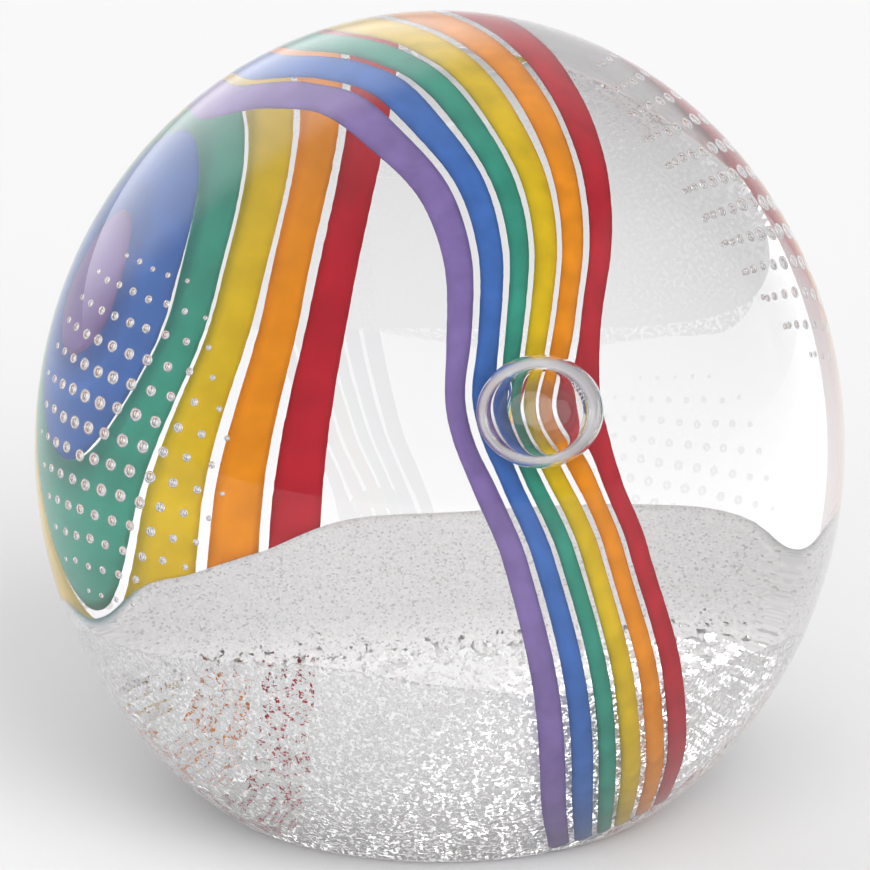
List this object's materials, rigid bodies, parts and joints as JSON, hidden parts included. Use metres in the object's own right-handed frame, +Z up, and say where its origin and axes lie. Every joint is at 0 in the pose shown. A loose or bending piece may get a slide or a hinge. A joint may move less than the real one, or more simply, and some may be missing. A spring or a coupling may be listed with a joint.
{
  "type": "glass paperweight",
  "caption": "Solid clear-glass ball paperweight on a ground flat base, with colour ribbons looping over a sparkling inner bowl and trapped air bubbles.",
  "frame": {"origin": "centre of the ground flat base", "axes": "+Z up through the crown, -Y towards the side with the large air bubble, +X to the right when that side is faced"},
  "size_m": [0.08, 0.08, 0.078],
  "materials": {
    "casing_glass": "polished, clear",
    "core_glass": "clear",
    "ground_frit": "sparkling silvery frit",
    "violet_glass": "opaque, smooth",
    "blue_glass": "opaque, smooth",
    "green_glass": "opaque, smooth",
    "yellow_glass": "opaque, smooth",
    "orange_glass": "opaque, smooth",
    "red_glass": "opaque, smooth"
  },
  "bodies": {
    "root": {"casing": "casing_glass", "core": "core_glass", "ground": "ground_frit", "ribbon_violet": "violet_glass", "ribbon_blue": "blue_glass", "ribbon_green": "green_glass", "ribbon_yellow": "yellow_glass", "ribbon_orange": "orange_glass", "ribbon_red": "red_glass"}
  },
  "joints": []
}
